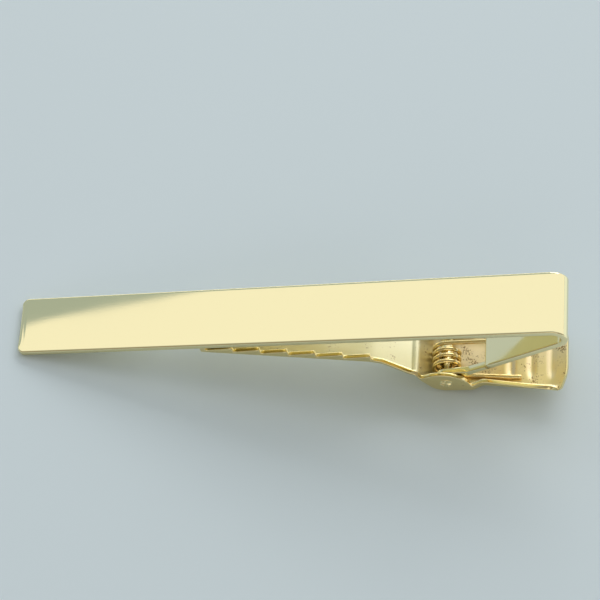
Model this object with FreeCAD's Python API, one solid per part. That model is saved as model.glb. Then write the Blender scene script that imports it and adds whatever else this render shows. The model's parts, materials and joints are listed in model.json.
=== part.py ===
import FreeCAD, Part
import math
import os

from FreeCAD import Placement, Rotation, Vector

# A tie clip of bent sheet. The front bar folds back at one end into a leg that carries the hinge pin.
# A lever of thinner sheet turns on the pin: its toothed jaw presses on the back of the bar, and its tab,
# on the other side of the pin, is pressed towards the leg to open the jaw. A torsion spring shuts it.
# Shapes are drawn in the bar's own axes: X along the bar with the fold at +X, Y across the bar, Z out of
# its front face, with zero at the middle of that face. They are then laid down as the clip rests on a
# table, on the bar's tip and on the lever's pocket, with the origin under the middle of the clip.
# Lengths are in millimetres and angles in degrees.

# Front bar, one strip from the tip through the fold to the end of the leg
bar_length = 52.0
bar_width = 6.4
tip_width = 5.8
bar_sheet = 0.65
fold_radius = 1.54
leg_angle = 28.6
tip_corner = 0.6
edge_round = 0.12

# Lugs at the end of the leg
lug_radius = 0.92
lug_root = 5.2
lug_neck = 2.4

# Hinge pin, its axis placed from the fold and from the front face
pin_to_fold = 12.25
pin_depth = 8.3
pin_diameter = 1.1
pin_clearance = 0.04
head_diameter = 1.32
head_height = 0.2
stake_length = 1.0
stake_width = 0.12
stake_depth = 0.08
stake_count = 3

# Lever sheet and its widths
lever_sheet = 0.42
hinge_side_gap = 0.1
jaw_width = 5.6
waist_width = 6.3
tab_width = 7.9
nose_width = 4.0
side_blend = 1.0
jaw_corner = 0.5
tab_corner = 0.7
nose_round = 4.0

# Lever places along the bar, measured from the pin axis
teeth_to_pin = 6.55
flare_to_pin = 5.6
shoulder_to_pin = 2.75
ear_front = 2.2
ear_back = 2.3
waist_to_pin = 3.3
flange_to_pin = 8.9
lip_to_pin = 9.2
tab_corner_to_pin = 10.6
tab_reach = 11.35

# Jaw: tooth tips on a sloping line, the last one just clear of the back of the bar
tooth_count = 6
tooth_pitch = 2.53
tooth_depth = 0.67
jaw_land = 0.5
jaw_gap = 0.05
jaw_angle = 12.4
jaw_depth = 0.95

# Lever floor: neck behind the jaw, shoulder, pocket round the spring, tab and its curled lip
neck_angle = 25.0
neck_bend = 1.2
shoulder_bend = 0.6
pocket_radius = 1.45
tab_angle = 3.5
lip_radius = 6.0

# Lever flanges and ears, heights above the floor or the pin axis
neck_height = 0.25
ear_crown = 1.48
ear_start = 1.0
flange_height = 0.7

# Grip ribs pressed across the tab
rib_count = 3
rib_first = 5.85
rib_pitch = 1.95
rib_radius = 0.9
rib_height = 0.16
rib_length = 5.6

# Torsion spring
wire = 0.42
coil_gap = 0.48
full_turns = 3
spring_clearance = 0.05
bar_leg_overlap = 1.2
tab_leg_length = 7.0

# Shares and drawing aids
middle_share = 0.5
outer_bend_share = 0.9
overrun = 2.0
sharp_angle = 20.0
pick_slack = 0.05
fuse_slack = 0.0001


def at(x: float, z: float) -> Vector:
    """A point of a side view, on the middle plane."""
    return Vector(x, 0, z)


def along(angle: float) -> Vector:
    """Unit vector in the side view that runs at an angle in radians above +X."""
    return Vector(math.cos(angle), 0, math.sin(angle))


def facing(angle: float) -> Vector:
    """Unit vector square to along(angle), on its left."""
    return Vector(-math.sin(angle), 0, math.cos(angle))


def swing(first: float, last: float) -> list[float]:
    """First, middle and last heading of a bend."""
    return [first, first + (last - first) * middle_share, last]


def line(start: Vector, end: Vector) -> Part.Edge:
    """Straight edge."""
    return Part.LineSegment(start, end).toShape()


def arc(start: Vector, middle: Vector, end: Vector) -> Part.Edge:
    """Arc edge through three points."""
    return Part.Arc(start, middle, end).toShape()


def round_corner(before: Vector, corner: Vector, after: Vector, radius: float) -> list[Vector]:
    """Start, middle and end of the arc that rounds a corner between two straight runs."""
    back = (before - corner).normalize()
    ahead = (after - corner).normalize()
    half_angle = back.getAngle(ahead) / 2
    reach = radius / math.tan(half_angle)
    inward = (back + ahead).normalize()
    middle = corner + inward * (radius / math.sin(half_angle) - radius)
    return [corner + back * reach, middle, corner + ahead * reach]


def rounded_outline(corners: list[tuple[Vector, float]]) -> Part.Face:
    """Flat face whose outline has straight sides and a radius of its own at each corner."""
    points = [point for point, radius in corners]
    rounds = [
        round_corner(points[index - 1], point, points[(index + 1) % len(points)], radius)
        for index, (point, radius) in enumerate(corners)
    ]
    edges = []
    for index, (start, middle, end) in enumerate(rounds):
        edges.append(arc(start, middle, end))
        edges.append(line(end, rounds[(index + 1) % len(rounds)][0]))
    return Part.Face(Part.Wire(edges))


def mirrored(half: list[tuple[float, float, float]]) -> list[tuple[Vector, float]]:
    """Corners of a plan outline from those of its +Y half, given left to right as x, y, radius."""
    upper = [(Vector(x, y, 0), radius) for x, y, radius in half]
    lower = [(Vector(x, -y, 0), radius) for x, y, radius in reversed(half)]
    return upper + lower


def face_of(edges: list[Part.Edge]) -> Part.Face:
    """Flat face inside a closed run of edges."""
    return Part.Face(Part.Wire(Part.__sortEdges__(edges)))


def across(face: Part.Face, width: float) -> Part.Shape:
    """Side view face made into a solid that reaches half its width to each side of the middle."""
    solid = face.extrude(Vector(0, width, 0))
    solid.translate(Vector(0, -width / 2, 0))
    return solid


def upright(face: Part.Face, low: float, high: float) -> Part.Shape:
    """Plan view face made into a solid between two heights."""
    solid = face.extrude(Vector(0, 0, high - low))
    solid.translate(Vector(0, 0, low))
    return solid


def sharp_edges(solid: Part.Shape) -> list[Part.Edge]:
    """Edges of a solid whose two faces meet at an angle, not in a smooth run."""
    found = []
    for edge in solid.Edges:
        faces = solid.ancestorsOfType(edge, Part.Face)
        if len(faces) < 2:
            continue
        spot = edge.valueAt((edge.FirstParameter + edge.LastParameter) / 2)
        normals = [face.normalAt(*face.Surface.parameter(spot)) for face in faces]
        if math.degrees(normals[0].getAngle(normals[1])) > sharp_angle:
            found.append(edge)
    return found


def rod(diameter: float, length: float, centre: Vector) -> Part.Shape:
    """Round bar across the clip, centred on a point."""
    start = centre - Vector(0, length / 2, 0)
    return Part.makeCylinder(diameter / 2, length, start, Vector(0, 1, 0))


# Places that the pieces share
pin = at(bar_length / 2 - pin_to_fold, -pin_depth)
leg_heading = math.radians(leg_angle)
tab_heading = -math.radians(tab_angle)
fold_centre = at(bar_length / 2 - fold_radius, -fold_radius)
leg_back = fold_centre - facing(leg_heading) * fold_radius
leg_face = fold_centre - facing(leg_heading) * (fold_radius - bar_sheet)
below_all = -(pin_depth + pocket_radius + lever_sheet + overrun)


def bar_half_width(x: float) -> float:
    """Half the width of the tapered bar at a place along it."""
    share = (x + bar_length / 2) / bar_length
    return (tip_width + (bar_width - tip_width) * share) / 2


lug_half = bar_half_width(pin.x)
ear_half = bar_half_width(pin.x + ear_back) + hinge_side_gap + lever_sheet
coil_radius = pocket_radius - spring_clearance - wire / 2
coil_pitch = wire + coil_gap
turn_angle = 2 * math.pi * full_turns + math.pi + tab_heading
coil_start = -(lug_half - bar_sheet) + wire / 2 + spring_clearance
coil_end = coil_start + coil_pitch * turn_angle / (2 * math.pi)
wire_crest = pin.z + coil_radius + wire / 2 + spring_clearance
leg_end_back = leg_back - along(leg_heading) * ((leg_back.z - wire_crest) / math.sin(leg_heading))
leg_end_face = leg_end_back + facing(leg_heading) * bar_sheet


def tangent_point(centre: Vector, radius: float, outside: Vector, side: int) -> Vector:
    """Where a line from a point outside a circle touches it, on the left (1) or right (-1)."""
    reach = outside - centre
    turn_by = side * math.acos(radius / reach.Length)
    return centre + along(math.atan2(reach.z, reach.x) + turn_by) * radius


def lug_outline() -> Part.Face:
    """Side view of a lug: rooted inside the leg's sheet, in line with it up to a neck, round at the pin."""
    root = pin + along(leg_heading) * lug_root
    across_leg = facing(leg_heading)
    neck = pin + along(leg_heading) * lug_neck
    neck_face = neck - across_leg * (neck - leg_face).dot(across_leg)
    root_back = root - across_leg * ((root - leg_back).dot(across_leg) - edge_round)
    root_face = root - across_leg * ((root - leg_face).dot(across_leg) + edge_round)
    upper = tangent_point(pin, lug_radius, neck_face, 1)
    lower = tangent_point(pin, lug_radius, root_back, -1)
    end = pin - along(leg_heading) * lug_radius
    root_sides = [line(lower, root_back), line(root_back, root_face)]
    return face_of(root_sides + [line(root_face, neck_face), line(neck_face, upper), arc(upper, end, lower)])


def strip_outline() -> Part.Face:
    """Side view of the strip: front plate, fold and leg, cut off where the spring's end slips behind it."""
    apex = Vector(1, 0, 0)
    tip = -bar_length / 2
    inner = fold_radius - bar_sheet
    outside = [
        line(at(tip, 0), at(fold_centre.x, 0)),
        arc(at(fold_centre.x, 0), fold_centre + apex * fold_radius, leg_back),
        line(leg_back, leg_end_back),
    ]
    inside = [
        line(leg_end_face, leg_face),
        arc(leg_face, fold_centre + apex * inner, at(fold_centre.x, -bar_sheet)),
        line(at(fold_centre.x, -bar_sheet), at(tip, -bar_sheet)),
    ]
    ends = [line(leg_end_back, leg_end_face), line(at(tip, -bar_sheet), at(tip, 0))]
    return face_of(outside + inside + ends)


def make_front_bar() -> Part.Shape:
    """Front plate, fold, leg and the two lugs that carry the pin."""
    far = bar_length / 2 + overrun
    half = [(-bar_length / 2, tip_width / 2, tip_corner), (far, bar_half_width(far), tip_corner)]
    taper = upright(rounded_outline(mirrored(half)), below_all, overrun)
    strip = across(strip_outline(), bar_width + overrun).common(taper).Solids[0]
    strip = strip.makeFillet(edge_round, sharp_edges(strip))
    lugs = across(lug_outline(), bar_width + overrun).common(taper)
    between_lugs = across(lug_outline(), 2 * (lug_half - bar_sheet))
    bore = rod(pin_diameter + 2 * pin_clearance, bar_width + overrun, pin)
    body = strip.fuse(lugs.cut(between_lugs).Solids, fuse_slack).removeSplitter()
    return body.cut(bore).Solids[0]


# Lever floor: its centres and headings in the side view, from the jaw to the tab
jaw_heading = -math.radians(jaw_angle)
last_tip = at(pin.x - teeth_to_pin - tooth_count * tooth_pitch, -bar_sheet - jaw_gap)
jaw_end = last_tip.x - jaw_land


def tip_line(x: float) -> Vector:
    """Point of the line through the tooth tips."""
    return last_tip + along(jaw_heading) * ((x - last_tip.x) / math.cos(jaw_heading))


neck_heading = -math.radians(neck_angle)
neck_centre = tip_line(pin.x - teeth_to_pin) - facing(jaw_heading) * (jaw_depth + neck_bend)
neck_start = neck_centre + facing(neck_heading) * neck_bend
neck_run = (pin.x - shoulder_to_pin - neck_start.x) / math.cos(neck_heading)
shoulder = neck_start + along(neck_heading) * neck_run
shoulder_centre = shoulder - facing(neck_heading) * shoulder_bend
to_pin = pin - shoulder_centre
drop_heading = math.atan2(to_pin.z, to_pin.x) - math.asin((shoulder_bend + pocket_radius) / to_pin.Length)
lip_heading = tab_heading + (tab_reach + overrun - lip_to_pin) / lip_radius


def tab_floor(distance: float) -> Vector:
    """Point of the tab's floor at a distance along the tab from the pin."""
    return pin + along(tab_heading) * distance - facing(tab_heading) * pocket_radius


lip_centre = tab_floor(lip_to_pin) + facing(tab_heading) * lip_radius


def floor_points(depth: float) -> list[list[Vector]]:
    """The floor's straight runs and arcs, each as its points, at a depth below the floor's inner face."""
    neck = neck_bend - depth
    turn = shoulder_bend - depth
    pocket = pocket_radius + depth
    lip = lip_radius + depth
    start = tip_line(jaw_end - overrun) - facing(jaw_heading) * (jaw_depth + depth)
    flange_end = tab_floor(flange_to_pin) - facing(tab_heading) * depth
    neck_arc = [neck_centre + facing(angle) * neck for angle in swing(jaw_heading, neck_heading)]
    turn_arc = [shoulder_centre + facing(angle) * turn for angle in swing(neck_heading, drop_heading)]
    pocket_arc = [pin - facing(angle) * pocket for angle in swing(drop_heading, tab_heading)]
    lip_arc = [lip_centre - facing(angle) * lip for angle in swing(tab_heading, lip_heading)]
    return [
        [start, neck_arc[0]],
        neck_arc,
        [neck_arc[-1], turn_arc[0]],
        turn_arc,
        [turn_arc[-1], pocket_arc[0]],
        pocket_arc,
        [pocket_arc[-1], flange_end],
        [flange_end, lip_arc[0]],
        lip_arc,
    ]


def edges_of(runs: list[list[Vector]]) -> list[Part.Edge]:
    """Edges of straight runs, given by two points, and arcs, given by three."""
    return [line(*points) if len(points) == 2 else arc(*points) for points in runs]


def floor_outline() -> Part.Face:
    """Side view of the lever's floor, one sheet thick."""
    inner = floor_points(0)
    outer = floor_points(lever_sheet)
    caps = [line(inner[0][0], outer[0][0]), line(inner[-1][-1], outer[-1][-1])]
    return face_of(edges_of(inner) + edges_of(outer) + caps)


def cheek_outline() -> Part.Face:
    """Side view of the lever's sides: toothed flange, neck, ear and the flange of the tab."""
    bottom = floor_points(lever_sheet * middle_share)[:-2]
    teeth = [tip_line(jaw_end - overrun) + at(0, last_tip.z - tip_line(jaw_end - overrun).z), last_tip]
    for tooth in range(tooth_count):
        left = tip_line(last_tip.x + tooth * tooth_pitch)
        teeth.append(left - at(0, tooth_depth))
        teeth.append(tip_line(left.x + tooth_pitch))
    teeth.append(teeth[-1] - at(0, tooth_depth))
    neck = shoulder + facing(neck_heading) * neck_height
    ear_left = pin + at(-ear_front, ear_start)
    crown = pin + at(0, ear_crown)
    ear_right = tab_floor(ear_back) + facing(tab_heading) * flange_height
    flange_end = tab_floor(flange_to_pin)
    path = teeth + [neck, ear_left]
    top = [line(start, end) for start, end in zip(path, path[1:])]
    top.append(arc(ear_left, crown, ear_right))
    top.append(line(ear_right, flange_end))
    ends = [line(flange_end, bottom[-1][-1]), line(bottom[0][0], teeth[0])]
    return face_of(edges_of(bottom) + top + ends)


def lever_plan(inset: float, spare: float) -> Part.Face:
    """Plan of the lever, drawn in by the inset at its sides and longer by the spare at its ends."""
    neck_x = pin.x - flare_to_pin
    half = [
        (jaw_end - spare, jaw_width / 2 - inset, jaw_corner),
        (neck_x, jaw_width / 2 - inset, side_blend),
        (pin.x - ear_front, ear_half - inset, side_blend),
        (pin.x + ear_back, ear_half - inset, side_blend),
        (pin.x + waist_to_pin, waist_width / 2 - inset, side_blend),
        (pin.x + tab_corner_to_pin + spare, tab_width / 2 - inset, tab_corner),
        (pin.x + tab_reach + spare, nose_width / 2, nose_round),
    ]
    return rounded_outline(mirrored(half))


def rib(radius: float, place: Vector) -> Part.Shape:
    """Round-ended bar across the tab."""
    reach = rib_length / 2 - radius
    bar = rod(2 * radius, 2 * reach, place)
    for side in (-1, 1):
        bar = bar.fuse(Part.makeSphere(radius, place + Vector(0, side * reach, 0)))
    return bar


def make_clip_lever() -> Part.Shape:
    """Channel with toothed jaw, ears, pocket and ribbed tab, bored for the pin."""
    span = tab_width + overrun
    side = across(floor_outline(), span).fuse(across(cheek_outline(), span)).removeSplitter()
    blank = side.common(upright(lever_plan(0, 0), below_all, overrun)).Solids[0]
    outer_floor = Part.Wire(edges_of(floor_points(lever_sheet)))
    bends = []
    for edge in sharp_edges(blank):
        spot = edge.valueAt((edge.FirstParameter + edge.LastParameter) / 2)
        if Part.Vertex(at(spot.x, spot.z)).distToShape(outer_floor)[0] < pick_slack:
            bends.append(edge)
    blank = blank.makeFillet(lever_sheet * outer_bend_share, bends)
    inner_runs = floor_points(0)
    top_left = at(inner_runs[0][0].x, overrun)
    top_right = at(inner_runs[-1][-1].x, overrun)
    room_edges = edges_of(inner_runs) + [
        line(inner_runs[0][0], top_left),
        line(top_left, top_right),
        line(top_right, inner_runs[-1][-1]),
    ]
    above_floor = across(face_of(room_edges), span)
    room = above_floor.common(upright(lever_plan(lever_sheet, overrun), below_all, overrun))
    lever = blank.cut(room)
    rib_centre = rib_radius - rib_height - lever_sheet
    groove_radius = rib_radius - lever_sheet
    for number in range(rib_count):
        place = tab_floor(rib_first + number * rib_pitch) + facing(tab_heading) * rib_centre
        ridge = rib(rib_radius, place).cut(above_floor)
        lever = lever.fuse(ridge).cut(rib(groove_radius, place))
    return lever.cut(rod(pin_diameter, span, pin)).removeSplitter().Solids[0]


def make_hinge_pin() -> Part.Shape:
    """Pin with a low head at each end, staked with crossing strokes."""
    length = 2 * ear_half
    shape = rod(pin_diameter, length, pin)
    for side in (-1, 1):
        outward = Vector(0, side, 0)
        seat = pin + outward * ear_half
        head = Part.makeCylinder(head_diameter / 2, head_height, seat, outward)
        rims = [edge for edge in head.Edges if edge.isClosed()]
        outer_rim = max(rims, key=lambda edge: abs(edge.CenterOfMass.y))
        head = head.makeFillet(head_height * outer_bend_share, [outer_rim])
        shape = shape.fuse(head)
        for stroke in range(stake_count):
            groove = Part.makeBox(stake_length, 2 * stake_depth, stake_width)
            groove.translate(Vector(-stake_length / 2, -stake_depth, -stake_width / 2))
            groove.rotate(Vector(), Vector(0, 1, 0), 180 * stroke / stake_count)
            groove.translate(seat + outward * head_height)
            shape = shape.cut(groove)
    return shape.removeSplitter().Solids[0]


def biarc(start: Vector, start_way: Vector, end: Vector, end_way: Vector) -> list[list[Vector]]:
    """Two tangent arcs, each as its three points, between two points with their directions."""
    chord = end - start
    ways = start_way + end_way
    turn = 2 * (1 - start_way.dot(end_way))
    pull = chord.dot(ways)
    reach = (math.sqrt(pull ** 2 + turn * chord.dot(chord)) - pull) / turn
    corners = [start + start_way * reach, end - end_way * reach]
    joint = (corners[0] + corners[1]) / 2
    arcs = []
    for first, corner, last in ((start, corners[0], joint), (joint, corners[1], end)):
        middle = (first + last) / 2
        rise = (corner - middle).Length
        half_chord = (last - first).Length / 2
        sagitta = half_chord * math.tan(math.atan2(rise, half_chord) / 2)
        arcs.append([first, middle + (corner - middle).normalize() * sagitta, last])
    return arcs


def spring_route() -> list[list[Vector]]:
    """Runs and arcs of the wire: leg along the tab, turns round the pin, leg behind the bar's leg."""
    quarters = math.ceil(turn_angle / (math.pi / 2))
    first_angle = tab_heading - math.pi / 2
    knots = []
    for step in range(quarters + 1):
        share = step / quarters
        angle = first_angle - turn_angle * share
        place = pin + along(angle) * coil_radius + Vector(0, coil_start + (coil_end - coil_start) * share, 0)
        way = facing(angle) * -(coil_radius * turn_angle)
        if 0 < step < quarters:
            way += Vector(0, coil_end - coil_start, 0)
        knots.append((place, way.normalize()))
    first, first_way = knots[0]
    last, last_way = knots[-1]
    tab_end = first - first_way * tab_leg_length
    bar_end = last + last_way * ((leg_end_back.x + bar_leg_overlap - last.x) / last_way.x)
    turns = []
    for (place, way), (next_place, next_way) in zip(knots, knots[1:]):
        turns += biarc(place, way, next_place, next_way)
    return [[tab_end, first]] + turns + [[last, bar_end]]


def arc_radius(points: list[Vector]) -> float:
    """Radius of the circle through three points."""
    sides = [(points[index] - points[index - 1]).Length for index in range(3)]
    area = (points[1] - points[0]).cross(points[2] - points[0]).Length / 2
    return sides[0] * sides[1] * sides[2] / (4 * area)


def least_gap(path: Part.Wire) -> float:
    """Least room between two stretches of the wire, measured on points along its route."""
    points = path.discretize(Distance=wire * middle_share)
    skip = math.ceil(math.pi * coil_radius / (wire * middle_share))
    nearest = min(
        (points[later] - points[earlier]).Length
        for earlier in range(len(points))
        for later in range(earlier + skip, len(points))
    )
    return nearest - wire


def make_torsion_spring() -> Part.Shape:
    """One wire: two straight legs and the turns between them."""
    runs = spring_route()
    path = Part.Wire(edges_of(runs))
    start_way = (runs[0][1] - runs[0][0]).normalize()
    section = Part.Wire(Part.makeCircle(wire / 2, runs[0][0], start_way))
    sweep = Part.BRepOffsetAPI.MakePipeShell(path)
    sweep.add(section)
    sweep.build()
    sweep.makeSolid()
    spring = sweep.shape()
    radii = [arc_radius(points) for points in runs if len(points) > 2]
    share = spring.Volume / (math.pi * wire ** 2 / 4 * path.Length)
    print(f"spring: wire {path.Length:.2f} mm, volume over section times length {share:.4f}")
    print(f"spring: tightest bend {min(radii):.3f} mm, least gap to itself {least_gap(path):.3f} mm")
    return spring.Solids[0]


def rest_tilt() -> float:
    """Angle in degrees of the line that the bar's rounded tip and the lever's pocket both rest on."""
    tip_centre = at(-bar_length / 2 + edge_round, -bar_sheet + edge_round)
    reach = pin - tip_centre
    pocket = pocket_radius + lever_sheet
    slope = math.atan2(reach.z, reach.x) - math.asin((pocket - edge_round) / reach.Length)
    return -math.degrees(slope)


def main() -> None:
    """Make each piece, lay the clip down and write one file per piece."""
    pieces = {
        "front_bar": make_front_bar(),
        "clip_lever": make_clip_lever(),
        "hinge_pin": make_hinge_pin(),
        "torsion_spring": make_torsion_spring(),
    }
    tilt = Rotation(Vector(0, -1, 0), rest_tilt())
    for shape in pieces.values():
        shape.Placement = Placement(Vector(), tilt)
    box = Part.makeCompound(list(pieces.values())).optimalBoundingBox(False, False)
    lift = Vector(-box.Center.x, 0, -box.ZMin)
    os.makedirs("parts", exist_ok=True)
    for name, shape in pieces.items():
        shape.Placement = Placement(lift, tilt)
        shape.exportStep(f"parts/{name}.step")
        print(f"{name}: volume {shape.Volume:.2f} mm3, valid {shape.isValid()}, solids {len(shape.Solids)}")
    hinge = tilt.multVec(pin) + lift
    face_middle = tilt.multVec(Vector()) + lift
    outward = tilt.multVec(Vector(0, 0, 1))
    print(f"rest tilt {rest_tilt():.3f}, size {box.XLength:.3f} x {box.YLength:.3f} x {box.ZLength:.3f}")
    print(f"pin axis {hinge.x:.4f} {hinge.z:.4f}, face {face_middle.x:.4f} {face_middle.z:.4f}")
    print(f"face normal {outward.x:.6f} {outward.z:.6f}")


main()
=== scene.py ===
"""Looks of a sprung tie clip: a folded front bar, a toothed lever, a staked pin and a torsion spring.

Shapes are drawn in millimetres in the bar's own axes: X along the bar with the fold at +X, Y across the
bar, Z out of its front face, with zero at the middle of that face. One matrix then lays them in the frame.
"""
import json
import logging
import math
from dataclasses import dataclass
from enum import Enum
from typing import ClassVar

import bmesh
import bpy
import numpy as np
from mathutils import Matrix, Vector


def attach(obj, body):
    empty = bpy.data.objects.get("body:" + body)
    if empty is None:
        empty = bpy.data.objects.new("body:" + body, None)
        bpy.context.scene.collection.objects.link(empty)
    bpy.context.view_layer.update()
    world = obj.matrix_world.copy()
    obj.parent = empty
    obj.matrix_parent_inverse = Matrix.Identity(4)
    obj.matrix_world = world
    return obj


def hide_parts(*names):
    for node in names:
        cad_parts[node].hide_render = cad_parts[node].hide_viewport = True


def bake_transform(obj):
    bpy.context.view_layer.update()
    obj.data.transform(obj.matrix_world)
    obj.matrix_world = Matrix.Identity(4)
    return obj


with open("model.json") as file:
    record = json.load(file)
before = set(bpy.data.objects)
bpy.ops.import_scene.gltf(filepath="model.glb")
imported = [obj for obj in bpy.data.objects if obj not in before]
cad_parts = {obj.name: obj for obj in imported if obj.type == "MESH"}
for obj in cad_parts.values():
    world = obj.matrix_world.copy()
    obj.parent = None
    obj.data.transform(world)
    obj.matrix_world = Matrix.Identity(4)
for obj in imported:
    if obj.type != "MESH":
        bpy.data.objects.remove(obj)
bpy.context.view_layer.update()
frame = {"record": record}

log = logging.getLogger("tie_clip")

MM = 0.001
# Power of a soft light for each square metre, at a radiance of one
WATTS_PER_RADIANCE = 2.03
# Middle of the hinge pin's axis, in the bar's axes
HINGE = Vector((13.75, 0, -8.3))
# Colour sockets of the mix node: both inputs and the result
MIX_FIRST, MIX_SECOND, MIX_RESULT = 6, 7, 2
# Sockets of the map range node
RANGE_ENDS = ("From Min", "From Max", "To Min", "To Max")
# Share of the side before it that a rounded corner's arc may take
CORNER_SHARE = 0.45
# Share of the next mesh cell that a rounded cut edge may take
CELL_SHARE = 0.6
# Least cosine between the ways out at a corner of a cut edge, which bounds the mitre
MITRE_FLOOR = 0.6
# Passes that even out a sheet's normals before it is thickened
NORMAL_PASSES = 2
# Edges folded over more sharply than this are smoothed out of a thickened sheet, in so many passes
SHARP_FOLD = math.radians(100)
RELAX_PASSES = 10
RELAX_FACTOR = 0.5
# Weight of the weighted normals that lets the largest face at a vertex win
FLATS_FIRST = 100
# Round at a wire's cut end, as a share of its radius
WIRE_END = 0.3
Pair = tuple[float, float]
Triple = tuple[float, float, float]
Vert = bmesh.types.BMVert
Shape = bmesh.types.BMesh
Socket = bpy.types.NodeSocket
Tree = bpy.types.NodeTree
Object = bpy.types.Object


def linear(colour: str) -> tuple[float, float, float, float]:
    """Turn an sRGB hex colour into linear red, green, blue and alpha.

    Args:
        colour: six hex digits after a hash sign.

    Returns:
        Linear RGBA with alpha one.
    """
    shares = [int(colour[place:place + 2], 16) / 255 for place in (1, 3, 5)]
    red, green, blue = (
        share / 12.92 if share <= 0.04045 else ((share + 0.055) / 1.055) ** 2.4 for share in shares
    )
    return red, green, blue, 1.0


def node(
    tree: Tree, kind: str, settings: dict[str | int, object], links: dict[str | int, Socket]
) -> bpy.types.Node:
    """Add a node with its settings and links.

    Args:
        tree: node tree that takes the node.
        kind: Blender's name of the node type.
        settings: values of the node's properties or of its input sockets, by name or number.
        links: output sockets to link, by the input's name or number.

    Returns:
        The new node.
    """
    made = tree.nodes.new(kind)
    for key, value in settings.items():
        if isinstance(key, int) or key in made.inputs:
            made.inputs[key].default_value = value
        else:
            setattr(made, key, value)
    for key, socket in links.items():
        tree.links.new(socket, made.inputs[key])
    return made


def noise(tree: Tree, place: Socket, scale: float, detail: float, rough: float = 0.5) -> Socket:
    """Noise value at a place of a node tree."""
    settings = {"Scale": scale, "Detail": detail, "Roughness": rough}
    return node(tree, "ShaderNodeTexNoise", settings, {"Vector": place}).outputs["Fac"]


def remap(tree: Tree, value: Socket, given: Pair, wanted: Pair, kind: str = "LINEAR") -> Socket:
    """Value of a node tree, carried from one range to another and held within it."""
    settings = {"interpolation_type": kind} | dict(zip(RANGE_ENDS, given + wanted))
    return node(tree, "ShaderNodeMapRange", settings, {"Value": value}).outputs["Result"]


class Marks(Enum):
    """How a metal surface was worked, as the length and width of its fine marks in millimetres."""

    BUFFED = (9.0, 0.14)
    TUMBLED = (0.5, 0.22)
    DRAWN = (4.0, 0.10)


@dataclass(frozen=True)
class GoldFinish:
    """Gold plate over brass: what the plating, the polish and the wear give the eye."""

    name: str
    colour: str
    tarnish: str
    marks: Marks
    mark_depth: float
    rough_low: float
    rough_high: float
    smudge: float
    speck: float
    speck_share: float
    mark_detail: float = 3.0
    smudge_detail: float = 4.0
    smudge_span: Pair = (0.35, 0.7)
    speck_detail: float = 2.0
    speck_rough: float = 0.6
    speck_edge: float = 0.42
    speck_spread: float = 0.12
    speck_blur: float = 0.07

    def material(self) -> bpy.types.Material:
        """Build the node material.

        Returns:
            A metal with fine working marks, smudged gloss and specks of tarnish.
        """
        made = bpy.data.materials.new(self.name)
        made.use_nodes = True
        tree = made.node_tree
        tree.nodes.clear()
        place = node(tree, "ShaderNodeTexCoord", {}, {}).outputs["Object"]
        length, width = self.marks.value
        grain = Vector((1 / (length * MM), 1 / (width * MM), 1 / (width * MM)))
        stretched = node(tree, "ShaderNodeMapping", {"Scale": grain}, {"Vector": place}).outputs["Vector"]
        lines = noise(tree, stretched, 1.0, self.mark_detail)
        cloud = noise(tree, place, 1 / (self.smudge * MM), self.smudge_detail)
        gloss = remap(tree, cloud, self.smudge_span, (self.rough_low, self.rough_high))
        dots = noise(tree, place, 1 / (self.speck * MM), self.speck_detail, self.speck_rough)
        both = node(tree, "ShaderNodeMath", {"operation": "MULTIPLY"}, {0: dots, 1: cloud}).outputs["Value"]
        edge = self.speck_edge - self.speck_spread * self.speck_share
        specks = remap(tree, both, (edge, edge + self.speck_blur), (0.0, self.speck_share))
        colours = {"data_type": "RGBA", MIX_FIRST: linear(self.colour), MIX_SECOND: linear(self.tarnish)}
        tint = node(tree, "ShaderNodeMix", colours, {0: specks}).outputs[MIX_RESULT]
        depth = {"Strength": 1.0, "Distance": self.mark_depth * MM}
        relief = node(tree, "ShaderNodeBump", depth, {"Height": lines}).outputs["Normal"]
        sockets = {"Base Color": tint, "Roughness": gloss, "Normal": relief}
        metal = node(tree, "ShaderNodeBsdfPrincipled", {"Metallic": 1.0}, sockets)
        node(tree, "ShaderNodeOutputMaterial", {}, {"Surface": metal.outputs["BSDF"]})
        return made


# Buffed gold plate: a near mirror in pale yellow, with hairlines along the bar and faint smudges
BUFFED_GOLD = GoldFinish(
    "buffed_gold_plate", "#F7EDBC", "#C9A868", Marks.BUFFED, 0.00006, 0.012, 0.03, 7.0, 0.3, 0.0
)
# The same plate on the inside of the fold, which the buff reaches less well: a softer mirror
BUFFED_BACK = GoldFinish(
    "buffed_gold_plate_inside", "#F5E9B8", "#A98844", Marks.BUFFED, 0.0004, 0.07, 0.14, 4.0, 0.3, 0.2
)
# Tumbled gold plate outside the lever: bright and smooth, with slight waves; its deeper gold is partly
# painted shade for the shadowed floor its sides reflect
TUMBLED_GOLD_AND_PAINTED_SHADE = GoldFinish(
    "tumbled_gold_plate_painted_shade", "#F1E0A6", "#8A6024", Marks.TUMBLED, 0.0006, 0.07, 0.15, 2.5, 0.22, 0.3
)
# Frosted gold plate inside the lever, never buffed, soft, with brown specks in its pits; its pale cream
# colour is partly painted light for the bright light the inside catches
FROSTED_GOLD_AND_PAINTED_LIGHT = GoldFinish(
    "frosted_gold_plate_painted_light", "#F8F2CC", "#8A6024", Marks.TUMBLED, 0.002, 0.40, 0.52, 2.0, 0.20, 0.6
)
# Worn gold plate on the tab, where the thumb presses: warmer, with brown brass showing in blotches
WORN_GOLD = GoldFinish(
    "thumb_worn_gold_plate", "#F9E4B2", "#7E5418", Marks.TUMBLED, 0.0025, 0.28, 0.42, 1.4, 0.16, 0.85
)
# Turned gold-plated pin: bright, with tool marks
PIN_GOLD = GoldFinish(
    "turned_gold_plated_pin", "#F5E7B0", "#9A7236", Marks.TUMBLED, 0.0008, 0.14, 0.22, 1.0, 0.2, 0.3
)
# Drawn brass wire, gold washed: deeper yellow, with draw lines
WIRE_GOLD = GoldFinish(
    "drawn_gold_washed_wire", "#F0DA9C", "#8A5F22", Marks.DRAWN, 0.0006, 0.10, 0.20, 1.5, 0.2, 0.4
)


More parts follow.
